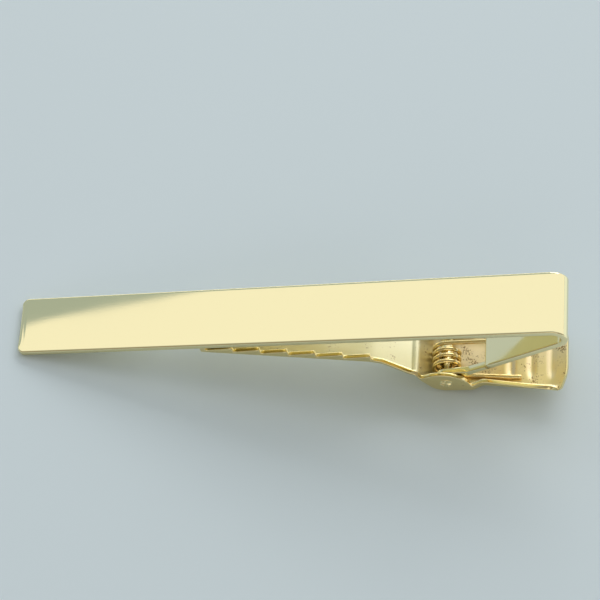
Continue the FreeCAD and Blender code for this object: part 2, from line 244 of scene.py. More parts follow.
@dataclass(frozen=True)
class RestFrame:
    """The bar's axes in millimetres, laid in the frame's metres by the front face's mount."""

    turn: Matrix
    place: Vector

    @classmethod
    def from_record(cls, record: dict) -> "RestFrame":
        """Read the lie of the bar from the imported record.

        Args:
            record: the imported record, with its mounts.

        Returns:
            The rest frame of the bar.
        """
        face = next(mount for mount in record["mounts"] if mount["name"] == "front_face")
        tilt = math.atan2(-face["axis"][0], face["axis"][2])
        return cls(Matrix.Rotation(-tilt, 3, "Y"), Vector(face["pos_m"]))

    def matrix(self) -> Matrix:
        """Matrix from millimetres in the bar's axes to metres in the frame."""
        return Matrix.Translation(self.place) @ self.turn.to_4x4() @ Matrix.Scale(MM, 4)

    def point(self, x: float, y: float, z: float) -> Vector:
        """Point of the bar's axes in the frame."""
        return self.matrix() @ Vector((x, y, z))


def along(heading: float) -> Vector:
    """Unit vector in the side view at an angle above +X."""
    return Vector((math.cos(heading), 0, math.sin(heading)))


def facing(heading: float) -> Vector:
    """Unit vector in the side view, square to along(heading) on its left."""
    return Vector((-math.sin(heading), 0, math.cos(heading)))


def spaced(first: float, last: float, count: int) -> list[float]:
    """Evenly spaced values, both ends included."""
    return [first + (last - first) * step / count for step in range(count + 1)]


def full_turn(count: int) -> list[float]:
    """Evenly spaced angles of a full turn, without the last."""
    return [2 * math.pi * step / count for step in range(count)]


def rounded_line(corners: list[Triple], steps: int = 8) -> list[Pair]:
    """Polyline with an arc in place of each inner corner.

    Args:
        corners: places as two coordinates and the radius of the corner's arc.
        steps: straight pieces in each arc.

    Returns:
        Points of the rounded line, with both ends of the given one.
    """
    points = [corners[0][:2]]
    for before, corner, after in zip(corners, corners[1:], corners[2:]):
        spot = Vector(corner[:2])
        back = (Vector(before[:2]) - spot).normalized()
        ahead = (Vector(after[:2]) - spot).normalized()
        half = back.angle(ahead) / 2
        reach = min(corner[2] / math.tan(half), CORNER_SHARE * (Vector(before[:2]) - spot).length)
        centre = spot + (back + ahead).normalized() * (reach / math.cos(half))
        start = spot + back * reach - centre
        end = spot + ahead * reach - centre
        first = math.atan2(start.y, start.x)
        turn = math.atan2(start.cross(end), start.dot(end))
        size = start.length
        arc = spaced(first, first + turn, steps)
        points += [(centre.x + size * math.cos(way), centre.y + size * math.sin(way)) for way in arc]
    points.append(corners[-1][:2])
    return points


def grid_faces(shape: Shape, rows: list[list[Vector]]) -> list[list[Vert]]:
    """Add a grid of quads to a mesh.

    Args:
        shape: mesh that takes the grid.
        rows: rows of places, all of one length.

    Returns:
        The new vertices, row by row.
    """
    verts = [[shape.verts.new(place) for place in row] for row in rows]
    for here, there in zip(verts, verts[1:]):
        for side in range(len(here) - 1):
            shape.faces.new((here[side], there[side], there[side + 1], here[side + 1]))
    return verts


def ring_faces(shape: Shape, rings: list[list[Vector]]) -> list[list[Vert]]:
    """Add a tube of quads to a mesh.

    Args:
        shape: mesh that takes the tube.
        rings: closed rings of places, all of one length.

    Returns:
        The new vertices, ring by ring.
    """
    verts = [[shape.verts.new(place) for place in ring] for ring in rings]
    for here, there in zip(verts, verts[1:]):
        for step in range(len(here)):
            after = (step + 1) % len(here)
            shape.faces.new((here[step], here[after], there[after], there[step]))
    return verts


def edge_radii(outward: dict[Vert, list[Vector]], edge_round: float) -> dict[Vert, float]:
    """Radii at a sheet's cut edges, held within the mesh cells beside them.

    Args:
        outward: ways out of the sheet at each vertex of its cut edges.
        edge_round: the wanted radius.

    Returns:
        The radius at each of the vertices.
    """
    radii: dict[Vert, float] = {}
    corners = []
    for vert, outs in outward.items():
        mean = sum(outs, Vector()).normalized()
        inner = [edge.other_vert(vert).co - vert.co for edge in vert.link_edges if not edge.is_boundary]
        if inner:
            radii[vert] = min(edge_round, CELL_SHARE * max(abs(reach.dot(mean)) for reach in inner))
        else:
            corners.append(vert)
    for vert in corners:
        next_to = min(radii.get(edge.other_vert(vert), edge_round) for edge in vert.link_edges)
        radii[vert] = min(next_to, CELL_SHARE * min(edge.calc_length() for edge in vert.link_edges))
    return radii


def even_normals(sheet: Shape) -> dict[Vert, Vector]:
    """Normals of a middle surface, each evened out with those beside it.

    Args:
        sheet: the middle surface.

    Returns:
        The normal at each vertex.
    """
    normals = {vert: vert.normal.copy() for vert in sheet.verts}
    for _ in range(NORMAL_PASSES):
        evened = {}
        for vert in sheet.verts:
            beside = [normals[edge.other_vert(vert)] for edge in vert.link_edges]
            evened[vert] = (normals[vert] + sum(beside, Vector()) / len(beside)).normalized()
        normals = evened
    return normals


def relax(solid: Shape) -> None:
    """Smooth out the edges of a thickened sheet that are folded over.

    Args:
        solid: the thickened sheet.
    """
    every_way = {"use_axis_x": True, "use_axis_y": True, "use_axis_z": True}
    for _ in range(RELAX_PASSES):
        solid.normal_update()
        sharp = [edge for edge in solid.edges if edge.calc_face_angle(0.0) > SHARP_FOLD]
        folded = {vert for edge in sharp for vert in edge.verts}
        bmesh.ops.smooth_vert(solid, verts=list(folded), factor=RELAX_FACTOR, **every_way)


def thicken(sheet: Shape, thick: float, edge_round: float, steps: int = 4) -> Shape:
    """Make a middle surface into sheet metal whose cut edges are rounded.

    The skin on the side that the surface faces takes the second material, all else the first. Facets that
    come out folded over are smoothed.

    Args:
        sheet: the middle surface, freed here.
        thick: thickness of the sheet.
        edge_round: radius at the cut edges.
        steps: facets in each rounded corner of a cut edge.

    Returns:
        A closed mesh.
    """
    sheet.normal_update()
    outward: dict[Vert, list[Vector]] = {}
    rims = [edge.link_loops[0] for edge in sheet.edges if len(edge.link_loops) == 1]
    for loop in rims:
        run = loop.link_loop_next.vert.co - loop.vert.co
        out = run.cross(loop.face.normal).normalized()
        for vert in loop.edge.verts:
            outward.setdefault(vert, []).append(out)
    radii = edge_radii(outward, edge_round)
    normals = even_normals(sheet)
    solid = bmesh.new()
    rings: dict[Vert, list[Vert]] = {}
    half = thick / 2
    for vert in sheet.verts:
        if vert not in outward:
            rings[vert] = [solid.verts.new(vert.co + normals[vert] * side * half) for side in (1, -1)]
            continue
        outs = outward[vert]
        mean = sum(outs, Vector()).normalized()
        mitre = 1 / max(MITRE_FLOOR, mean.dot(outs[0]))
        radius = radii[vert]
        rings[vert] = []
        turns = spaced(0, math.pi / 2, steps)
        for side, turn in [(1, turn) for turn in turns] + [(-1, turn) for turn in reversed(turns)]:
            inset = radius * (1 - math.sin(turn)) * mitre
            rise = half - radius + radius * math.cos(turn)
            spot = vert.co - mean * inset + normals[vert] * side * rise
            rings[vert].append(solid.verts.new(spot))
    for face in sheet.faces:
        solid.faces.new([rings[vert][0] for vert in face.verts]).material_index = 1
        solid.faces.new([rings[vert][-1] for vert in reversed(face.verts)])
    for loop in rims:
        here = rings[loop.vert]
        there = rings[loop.link_loop_next.vert]
        for step in range(len(here) - 1):
            solid.faces.new((there[step], here[step], here[step + 1], there[step + 1]))
    sheet.free()
    relax(solid)
    return solid


def sweep(points: list[Vector], radius: float, sides: int = 20) -> Shape:
    """Round wire along a line of points, with rounded cut ends.

    Args:
        points: places along the wire's middle.
        radius: radius of the wire.
        sides: facets round the wire.

    Returns:
        A closed mesh.
    """
    shape = bmesh.new()
    ways = [(after - before).normalized() for before, after in zip(points, points[1:])]
    ways = [ways[0]] + [(a + b).normalized() for a, b in zip(ways, ways[1:])] + [ways[-1]]
    side = ways[0].orthogonal().normalized()
    rows = []
    for spot, way in zip(points, ways):
        side = (side - way * side.dot(way)).normalized()
        other = way.cross(side)
        ring = [side * math.cos(turn) + other * math.sin(turn) for turn in full_turn(sides)]
        rows.append((spot, way, ring))
    cut = WIRE_END * radius
    ends = [(cut * (1 - math.cos(turn)), radius - cut + cut * math.sin(turn)) for turn in (0, math.pi / 4)]
    loops = [(rows[0], shift, size) for shift, size in ends]
    loops += [(row, 0.0, radius) for row in rows[1:-1]]
    loops += [(rows[-1], -shift, size) for shift, size in reversed(ends)]
    rings = []
    for (spot, way, ring), shift, size in loops:
        rings.append([spot + way * shift + spoke * size for spoke in ring])
    verts = ring_faces(shape, rings)
    shape.faces.new(verts[0][::-1])
    shape.faces.new(verts[-1])
    return shape


def mesh_object(name: str, shape: Shape, place: Matrix) -> Object:
    """Turn a drawn shape into a smooth object of the scene.

    Args:
        name: name of the piece.
        shape: drawn mesh in the bar's axes, freed here.
        place: matrix that lays it in the frame.

    Returns:
        The new object, linked to the scene.
    """
    shape.transform(place)
    bmesh.ops.recalc_face_normals(shape, faces=shape.faces)
    mesh = bpy.data.meshes.new(name)
    shape.to_mesh(mesh)
    shape.free()
    mesh.polygons.foreach_set("use_smooth", [True] * len(mesh.polygons))
    made = bpy.data.objects.new(name, mesh)
    bpy.context.scene.collection.objects.link(made)
    return made


class Piece:
    """A piece of the clip: its finishes, in the order of its faces' material numbers, and its shading."""

    finishes: ClassVar[tuple[GoldFinish, ...]] = ()
    has_flats: ClassVar[bool] = True

    def dress(self, piece: Object) -> None:
        """Give the piece its finishes, and let its large faces set the shading, so that flats stay flat.

        Args:
            piece: the piece's object.
        """
        if self.has_flats:
            weigh = piece.modifiers.new("even_shading", "WEIGHTED_NORMAL")
            weigh.mode = "FACE_AREA"
            weigh.weight = FLATS_FIRST
        for finish in self.finishes:
            piece.data.materials.append(finish.material())


@dataclass
class FrontBar(Piece):
    """Folded strip: front plate, fold, a return leg cut off square beside the spring, and two lugs."""

    finishes = (BUFFED_BACK, BUFFED_GOLD)
    length: float = 52.0
    width: float = 6.4
    tip_width: float = 5.8
    sheet: float = 0.65
    fold_radius: float = 1.54
    leg_angle: float = 28.6
    tip_corner: float = 0.6
    tip_rows: tuple[float, ...] = (0, 0.5, 0.6, 0.69, 0.77, 0.84, 0.9, 0.95, 1)
    edge_round: float = 0.2
    crown: float = 0.002
    tip_roll: float = 0.004
    lug_radius: float = 0.92
    lug_root: float = 5.2
    lug_neck: float = 2.4
    lug_round: float = 3.0
    leg_end: float = 4.372
    # Cells of the mesh, and how the tip's and crown's forms fade
    plate_steps: int = 48
    fold_steps: int = 36
    leg_steps: int = 14
    strip_shares: tuple[float, ...] = (-1, -0.92, -0.8, -0.6, -0.4, -0.2, 0, 0.2, 0.4, 0.6, 0.8, 0.92, 1)
    tip_power: int = 8
    crown_fade: float = 3.0
    tip_roll_reach: float = 0.7
    lug_steps: int = 24
    lug_shares: tuple[float, ...] = (0, 0.2, 0.5, 0.8, 1)
    fork_sections: int = 9

    def fold_centre(self) -> Vector:
        """Middle of the fold's bend."""
        return Vector((self.length / 2 - self.fold_radius, 0, -self.fold_radius))

    def half_width(self, x: float) -> float:
        """Half the strip's width at a place along the bar, with the tip's rounded corners.

        Args:
            x: place along the bar.

        Returns:
            Half the width.
        """
        share = (x + self.length / 2) / self.length
        plain = (self.tip_width + (self.width - self.tip_width) * share) / 2
        inset = max(0.0, self.tip_corner - (x + self.length / 2))
        return plain - self.tip_corner + math.sqrt(self.tip_corner ** 2 - inset ** 2)

    def middle_line(self) -> list[Vector]:
        """Side view of the sheet's middle, from the tip over the fold to the leg's end.

        Returns:
            Places of the line.
        """
        tip = -self.length / 2
        fold = self.fold_centre()
        mid = self.fold_radius - self.sheet / 2
        leg = math.radians(self.leg_angle)
        line = [Vector((tip + self.tip_corner * (1 - math.cos(turn)), 0, -self.sheet / 2))
                for turn in spaced(0, math.pi / 2, len(self.tip_rows) - 1)]
        flat = fold.x - line[-1].x
        start = line[-1]
        line += [start + Vector((run, 0, 0)) for run in spaced(0, flat, self.plate_steps)[1:-1]]
        line += [fold + facing(turn) * mid for turn in spaced(0, leg - math.pi, self.fold_steps)]
        run = (line[-1] - HINGE).dot(along(leg)) - self.leg_end
        start = line[-1]
        to_last = along(leg) * (run - self.sheet)
        line += [start - to_last * step / self.leg_steps for step in range(1, self.leg_steps + 1)]
        return line + [start - along(leg) * run]

    def strip(self) -> Shape:
        """Sheet of the strip as a closed mesh.

        Returns:
            The mesh.
        """
        sheet = bmesh.new()
        line = self.middle_line()
        plate_end = self.length / 2 - self.fold_radius
        leg_from = next(step for step, spot in enumerate(line) if spot.z < -self.sheet)
        rows = []
        for step, spot in enumerate(line):
            row = []
            for share in self.strip_shares:
                place = Vector((spot.x, share * self.half_width(spot.x), spot.z))
                if step < len(self.tip_rows):
                    plain = self.tip_corner * self.tip_rows[step] - self.length / 2
                    place.x = plain + (spot.x - plain) * share ** self.tip_power
                if step < leg_from:
                    fade = min(1.0, max(0.0, (plate_end - spot.x) / self.crown_fade))
                    place.z -= fade * self.crown * share ** 2
                    from_tip = spot.x + self.length / 2
                    place.z -= self.tip_roll * math.exp(-from_tip / self.tip_roll_reach)
                row.append(place)
            rows.append(row)
        grid_faces(sheet, rows)
        return thicken(sheet, self.sheet, self.edge_round)

    def lug(self, side: int) -> Shape:
        """Side lug that carries the pin: round at the pin, narrowing to its root in the leg.

        Args:
            side: 1 for the +Y lug, -1 for the other.

        Returns:
            A closed mesh.
        """
        leg = math.radians(self.leg_angle)
        fold = self.fold_centre()
        root = HINGE + along(leg) * self.lug_root
        drop = (root - fold).dot(facing(leg))
        low = root - facing(leg) * (drop + self.fold_radius - self.edge_round)
        high = root - facing(leg) * (drop + self.fold_radius - self.sheet + self.edge_round)
        neck = HINGE + along(leg) * self.lug_neck - facing(leg) * (drop + self.fold_radius - self.sheet)
        touch = []
        for outside, sign in ((neck, 1), (low, -1)):
            reach = outside - HINGE
            touch.append(math.atan2(reach.z, reach.x) + sign * math.acos(self.lug_radius / reach.length))
        arcs = []
        for start, past in zip(touch, (self.lug_round, -self.lug_round)):
            turns = spaced(start, leg + past, self.lug_steps)
            arcs.append([HINGE + along(turn) * self.lug_radius for turn in turns])
        edges = []
        for line in ([low] + arcs[1], [high, neck] + arcs[0]):
            places = [((spot - HINGE).dot(along(leg)), (spot - HINGE).dot(facing(leg))) for spot in line]
            edges.append(np.array(places)[::-1])
        middle = Vector((0, side * (self.half_width(HINGE.x) - self.sheet / 2), 0))
        rows = []
        fork = np.linspace(self.lug_neck, self.lug_root, self.fork_sections)
        for place in np.unique(np.concatenate([fork, *(edge[:, 0] for edge in edges)]).round(decimals=2)):
            bottom, top = (float(np.interp(place, *edge.T)) for edge in edges)
            spots = [bottom + (top - bottom) * share for share in self.lug_shares]
            rows.append([HINGE + along(leg) * place + facing(leg) * spot + middle for spot in spots])
        sheet = bmesh.new()
        grid_faces(sheet, rows)
        return thicken(sheet, self.sheet, self.edge_round)

    def build(self, rest: RestFrame) -> Object:
        """Build the bar and lay it in the frame.

        Args:
            rest: lie of the bar.

        Returns:
            The bar's object, riding on its body.
        """
        shape = self.strip()
        for side in (-1, 1):
            lug = self.lug(side)
            part = bpy.data.meshes.new("lug")
            lug.to_mesh(part)
            lug.free()
            shape.from_mesh(part)
            bpy.data.meshes.remove(part)
        bar = mesh_object("Front_bar", shape, rest.matrix())
        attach(bar, "bar")
        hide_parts("front_bar")
        return bar


@dataclass
class ClipLever(Piece):
    """Channel of thin sheet: toothed jaw, neck, ears on the pin, pocket for the spring and a ribbed tab."""

    # The inside finish's pale cream is partly painted light
    # The outside finish's deeper gold is partly painted shade
    finishes = (TUMBLED_GOLD_AND_PAINTED_SHADE, FROSTED_GOLD_AND_PAINTED_LIGHT, WORN_GOLD)
    sheet: float = 0.42
    edge_round: float = 0.10
    bend: float = 0.33
    full_wall: float = 0.48
    long_wall: float = 0.4
    rim_cell: float = 0.16
    jaw_half: float = 2.8
    ear_half: float = 3.6626
    waist_half: float = 3.15
    tab_half: float = 3.84
    nose_half: float = 2.0
    jaw_angle: float = 12.4
    jaw_depth: float = 0.95
    jaw_land: float = 0.5
    last_tip: Pair = (-7.98, -0.70)
    tooth_count: int = 6
    tooth_pitch: float = 2.53
    tooth_depth: float = 0.67
    neck_angle: float = 25.0
    neck_bend: float = 1.2
    shoulder_to_pin: float = 2.65
    shoulder_bend: float = 0.6
    bead_to_pin: float = 2.65
    bead_half: float = 0.52
    bead_height: float = 0.2
    pocket_radius: float = 1.45
    tab_angle: float = 3.5
    lip_radius: float = 6.0
    lip_to_pin: float = 9.2
    tab_corner_to_pin: float = 10.6
    tab_reach: float = 11.26
    neck_height: float = 0.25
    ear_front: float = 2.2
    ear_back: float = 2.3
    waist_to_pin: float = 3.3
    flare_to_pin: float = 5.6
    side_blend: float = 1.0
    tab_corner: float = 0.7
    nose_round: float = 4.0
    nose_cell: float = 0.07
    ear_start: float = 1.0
    ear_crown: float = 1.48
    flange_height: float = 0.7
    flange_to_pin: float = 10.6
    rib_count: int = 3
    rib_first: float = 5.85
    rib_pitch: float = 1.95
    rib_half: float = 0.56
    rib_depth: float = 0.17
    rib_reach: float = 2.8
    rib_run_out: float = 1.3
    rib_power: float = 1.5
    # Ends and bends of the side view's lines
    floor_lead: float = 20.0
    lip_turn: float = 0.6
    bend_steps: tuple[int, ...] = (6, 10, 20, 30)
    rim_lead: float = 1.0
    rim_rounds: tuple[float, ...] = (0.3, 0.5, 0.4, 0.1)
    rim_past: float = 0.35
    ear_steps: int = 24
    ear_join: int = 4
    plan_steps: int = 12
    # Cells of the mesh and its tolerances
    tooth_cells: int = 6
    curve_lead: float = 0.1
    curve_past: float = 0.6
    neck_cell: float = 0.3
    neck_cells: int = 11
    bead_cells: int = 6
    tab_start: float = 0.25
    tab_cells: int = 76
    least_cell: float = 0.045
    side_cells: int = 8
    floor_cells: int = 28
    floor_even: float = 0.6
    nose_cells: int = 9
    least_turn: float = 0.01
    least_tooth: float = 0.005
    slack: float = 0.01
    weld: float = 0.001

    def __post_init__(self) -> None:
        """Work out the side view's lines once."""
        self.pin = HINGE
        self.jaw = -math.radians(self.jaw_angle)
        self.neck = -math.radians(self.neck_angle)
        self.tab = -math.radians(self.tab_angle)
        self.jaw_end = self.last_tip[0] - self.jaw_land
        self.teeth_end = self.last_tip[0] + self.tooth_count * self.tooth_pitch
        self.nose_from = self.pin.x + self.lip_to_pin
        self.floor = self.floor_line()
        self.rim = self.rim_line()
        self.plan = self.plan_line()

    def tip_z(self, x: float) -> float:
        """Height of the line through the tooth tips."""
        return self.last_tip[1] + math.tan(self.jaw) * (x - self.last_tip[0])

    def tab_floor(self, distance: float) -> Vector:
        """Inner face of the tab at a distance along it from the pin."""
        return self.pin + along(self.tab) * distance - facing(self.tab) * self.pocket_radius

    def floor_line(self) -> np.ndarray:
        """Side view of the floor sheet's middle, from the jaw's end to past the nose.

        Returns:
            Columns of x and z.
        """
        half = self.sheet / 2
        corner = Vector((self.teeth_end, 0, self.tip_z(self.teeth_end)))
        neck_centre = corner - facing(self.jaw) * (self.jaw_depth + self.neck_bend)
        neck_start = neck_centre + facing(self.neck) * self.neck_bend
        run = (self.pin.x - self.shoulder_to_pin - neck_start.x) / math.cos(self.neck)
        shoulder = neck_start + along(self.neck) * run
        self.shoulder = shoulder
        turn_centre = shoulder - facing(self.neck) * self.shoulder_bend
        to_pin = self.pin - turn_centre
        drop = math.atan2(to_pin.z, to_pin.x)
        drop -= math.asin((self.shoulder_bend + self.pocket_radius) / to_pin.length)
        start = corner - facing(self.jaw) * (self.jaw_depth + half)
        lip_centre = self.tab_floor(self.lip_to_pin) + facing(self.tab) * self.lip_radius
        bends = (
            (neck_centre, self.neck_bend - half, self.jaw, self.neck),
            (turn_centre, self.shoulder_bend - half, self.neck, drop),
            (self.pin, -self.pocket_radius - half, drop, self.tab),
            (lip_centre, -self.lip_radius - half, self.tab, self.lip_turn),
        )
        points = [start - along(self.jaw) * self.floor_lead]
        for (centre, radius, first, last), steps in zip(bends, self.bend_steps):
            points += [centre + facing(turn) * radius for turn in spaced(first, last, steps)]
        return np.array([(spot.x, spot.z) for spot in points])

    def floor_z(self, x: float) -> float:
        """Height of the floor sheet's middle, with the bead pressed up at the shoulder.

        Args:
            x: place along the bar.

        Returns:
            The height.
        """
        away = abs(x - self.pin.x + self.bead_to_pin)
        bead = self.bead_height * math.cos(math.pi / 2 * min(1.0, away / self.bead_half)) ** 2
        return float(np.interp(x, self.floor[:, 0], self.floor[:, 1])) + bead

    def rim_line(self) -> np.ndarray:
        """Upper edge of the sides without the teeth.

        Returns:
            Columns of x and z.
        """
        neck = self.shoulder + facing(self.neck) * self.neck_height
        left = self.pin + Vector((-self.ear_front, 0, self.ear_start))
        crown = self.pin + Vector((0, 0, self.ear_crown))
        right = self.tab_floor(self.ear_back) + facing(self.tab) * self.flange_height
        end = self.tab_floor(self.flange_to_pin)
        past = end + (end - right) * self.rim_past
        rows = np.array([[spot.x ** 2 + spot.z ** 2, spot.x, spot.z, 1] for spot in (left, crown, right)])
        minors = [np.linalg.det(np.delete(rows, column, 1)) for column in range(4)]
        centre = Vector((minors[1] / minors[0] / 2, 0, -minors[2] / minors[0] / 2))
        size = (left - centre).length
        first = math.atan2(left.z - centre.z, left.x - centre.x)
        last = math.atan2(right.z - centre.z, right.x - centre.x)
        arc = [centre + along(turn) * size for turn in spaced(first, last, self.ear_steps)]
        root = self.tip_z(self.teeth_end) - self.tooth_depth
        lead = self.jaw_end - self.rim_lead
        join = arc[self.ear_join]
        spots = ((self.teeth_end, root), (neck.x, neck.z), (left.x, left.z), (join.x, join.z))
        corners = [(lead, self.tip_z(lead) - self.tooth_depth, 0)]
        corners += [(*spot, radius) for spot, radius in zip(spots, self.rim_rounds)]
        points = rounded_line(corners) + [(spot.x, spot.z) for spot in arc[self.ear_join + 1:]]
        points.append((past.x, past.z))
        return np.array(points)

    def rim_z(self, x: float) -> float:
        """Height of the sides' upper edge without the teeth."""
        return float(np.interp(x, self.rim[:, 0], self.rim[:, 1]))

    def plan_line(self) -> np.ndarray:
        """Outline of the lever's half in plan, round the nose to the middle.

        Returns:
            Columns of x and half width.
        """
        corners = [
            (self.jaw_end, self.jaw_half, 0),
            (self.pin.x - self.flare_to_pin, self.jaw_half, self.side_blend),
            (self.pin.x - self.ear_front, self.ear_half, self.side_blend),
            (self.pin.x + self.ear_back, self.ear_half, self.side_blend),
            (self.pin.x + self.waist_to_pin, self.waist_half, self.side_blend),
            (self.pin.x + self.tab_corner_to_pin, self.tab_half, self.tab_corner),
            (self.pin.x + self.tab_reach, self.nose_half, self.nose_round),
            (self.pin.x + self.tab_reach, 0, 0),
        ]
        return np.array(rounded_line(corners, self.plan_steps))

    def half_width(self, x: float) -> float:
        """Half the lever's width at a place along the bar, before the nose."""
        return float(np.interp(x, self.plan[:, 0], self.plan[:, 1]))

    def nose_x(self, y: float) -> float:
        """Where the nose's outline lies at a distance from the middle."""
        outline = self.plan[int(np.argmax(self.plan[:, 1])):][::-1]
        return float(np.interp(abs(y), outline[:, 1], outline[:, 0]))

    def rib(self, x: float, y: float) -> float:
        """Depth of the grip ribs below the tab's floor.

        Args:
            x: place along the bar.
            y: place across the bar.

        Returns:
            The depth.
        """
        depth = 0.0
        for number in range(self.rib_count):
            centre = self.pin.x + (self.rib_first + number * self.rib_pitch) * math.cos(self.tab)
            past_end = max(0.0, abs(y) - self.rib_reach + self.rib_run_out)
            away = math.hypot(x - centre, past_end * self.rib_half / self.rib_run_out)
            if away < self.rib_half:
                depth = self.rib_depth * math.cos(math.pi / 2 * away / self.rib_half) ** self.rib_power
        return depth

    def stations(self) -> list[float]:
        """Places along the bar at which the channel's sections stand.

        Returns:
            The places in order.
        """
        places = [self.jaw_end, self.jaw_end + self.jaw_land / 2]
        places += [
            self.last_tip[0] + self.tooth_pitch * step / self.tooth_cells
            for step in range(self.tooth_count * self.tooth_cells + 1)
        ]
        curves = np.concatenate([self.floor[:, 0], self.rim[:, 0], self.plan[:, 0]])
        first = self.teeth_end + self.curve_lead
        last = self.pin.x + self.waist_to_pin + self.curve_past
        places += [spot for spot in curves if first < spot < last]
        places += [self.teeth_end + step * self.neck_cell for step in range(1, self.neck_cells + 1)]
        bead = self.pin.x - self.bead_to_pin
        cells = range(-self.bead_cells, self.bead_cells + 1)
        places += [bead + self.bead_half * step / self.bead_cells for step in cells]
        places += spaced(self.pin.x + self.tab_start, self.nose_from, self.tab_cells)
        places = sorted(places)
        kept = places[:1]
        for place in places[1:]:
            if place - kept[-1] > self.least_cell:
                kept.append(place)
        return kept

    def flange(self, x: float) -> tuple[float, list[float]]:
        """Bend of the upturned side at a place along the bar.

        Args:
            x: place along the bar.

        Returns:
            The angle turned, and the distances along the side at which its points stand.
        """
        wall = max(0.0, self.rim_z(x) - self.floor_z(x))
        turn = math.pi / 2 * min(1.0, math.sqrt(wall / self.full_wall))
        rise = (wall - self.bend * (1 - math.cos(turn))) / math.sin(turn) if wall > 0 else 0.0
        arc = self.bend * turn
        length = arc + rise
        if rise > self.long_wall:
            return turn, spaced(0, arc, self.side_cells - 2) + [arc + rise / 2, length]
        knee = length - min(self.rim_cell, length / 2)
        return turn, spaced(0, knee, self.side_cells - 1) + [length]

    def across(self, half_width: float, turn: float, stops: list[float], bend: float) -> list[Pair]:
        """Points across the channel as places across the bar and heights above the floor.

        Args:
            half_width: half the channel's outer width.
            turn: angle that the side is turned up.
            stops: distances along the side at which its points stand.
            bend: radius of the side's bend.

        Returns:
            Points from one side's upper edge to the other's.
        """
        side = []
        for stop in stops:
            angle = min(stop / bend, turn)
            past = stop - angle * bend
            out = bend * math.sin(angle) + past * math.cos(turn)
            side.append((out, bend * (1 - math.cos(angle)) + past * math.sin(turn)))
        start = half_width - self.sheet / 2 * math.sin(turn) - side[-1][0]
        floor = []
        for step in range(1, self.floor_cells):
            share = 2 * step / self.floor_cells - 1
            crowded = math.sin(math.pi / 2 * share)
            floor.append((start * (self.floor_even * share + (1 - self.floor_even) * crowded), 0.0))
        left = [(-start - out, rise) for out, rise in reversed(side)]
        return left + floor + [(start + out, rise) for out, rise in side]

    def section(self, x: float) -> list[Vector]:
        """Middle of the sheet across the channel, from one side's upper edge to the other's."""
        line = self.across(self.half_width(x), *self.flange(x), self.bend)
        return [Vector((x, y, self.floor_z(x) + rise - self.rib(x, y))) for y, rise in line]

    def nose_rows(self) -> list[list[Vector]]:
        """Sections of the lip from the one after the last plain section to the nose.

        Returns:
            Sections whose ends follow the nose's outline and whose sides flatten out.
        """
        turn, stops = self.flange(self.nose_from)
        widest = float(self.plan[:, 1].max())
        rows = []
        for step in range(1, self.nose_cells + 1):
            share = step / self.nose_cells
            flat = max(turn * (1 - share), self.least_turn)
            edge_x = self.nose_from + (self.nose_x(widest) - self.nose_from) * share
            spread = [stop + (self.nose_cell * place - stop) * share for place, stop in enumerate(stops)]
            row = []
            for y, rise in self.across(self.half_width(edge_x), flat, spread, spread[-1] / flat):
                x = self.nose_from + (self.nose_x(y) - self.nose_from) * share
                row.append(Vector((x, y, self.floor_z(x) - self.rib(x, y) + rise)))
            rows.append(row)
        return rows

    def teeth(self, sheet: Shape, stations: list[float], rims: list[list[Vert]]) -> None:
        """Add the jaw's teeth and its end land above both sides.

        Args:
            sheet: middle surface that takes the teeth.
            stations: places along the bar of the sections.
            rims: the sections' upper edge vertices, one list for each side.
        """
        tips = [self.last_tip[0] + self.tooth_pitch * tooth for tooth in range(self.tooth_count + 1)]
        for verts in rims:
            for start, end in zip([self.jaw_end] + tips, tips):
                low, high = start - self.slack, end + self.slack
                base = [vert for place, vert in zip(stations, verts) if low < place < high]
                from_z = self.last_tip[1] if start == self.jaw_end else base[0].co.z
                to_z = self.tip_z(end)
                tops = []
                for vert in base:
                    share = (vert.co.x - start) / (end - start)
                    top = from_z + (to_z - from_z) * share
                    if top - vert.co.z < self.least_tooth:
                        tops.append(vert)
                    else:
                        tops.append(sheet.verts.new((vert.co.x, vert.co.y, top)))
                for step in range(len(base) - 1):
                    ring = [base[step], base[step + 1], tops[step + 1], tops[step]]
                    corners = list(dict.fromkeys(ring))
                    if verts[0].co.y < 0:
                        corners.reverse()
                    sheet.faces.new(corners)

    def build(self, rest: RestFrame) -> Object:
        """Build the lever and lay it in the frame.

        Args:
            rest: lie of the bar.

        Returns:
            The lever's object, riding on its body.
        """
        sheet = bmesh.new()
        stations = self.stations()
        rows = [self.section(x) for x in stations]
        rows += self.nose_rows()
        verts = grid_faces(sheet, rows)
        jaw = [row for row, x in zip(verts, stations) if x < self.teeth_end + self.slack]
        self.teeth(sheet, stations, [[row[0] for row in jaw], [row[-1] for row in jaw]])
        bmesh.ops.remove_doubles(sheet, verts=sheet.verts, dist=self.weld)
        solid = thicken(sheet, self.sheet, self.edge_round)
        for face in solid.faces:
            if face.material_index == 1 and face.calc_center_median().x > self.pin.x:
                face.material_index = 2
        lever = mesh_object("Clip_lever", solid, rest.matrix())
        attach(lever, "lever")
        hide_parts("clip_lever")
        return lever


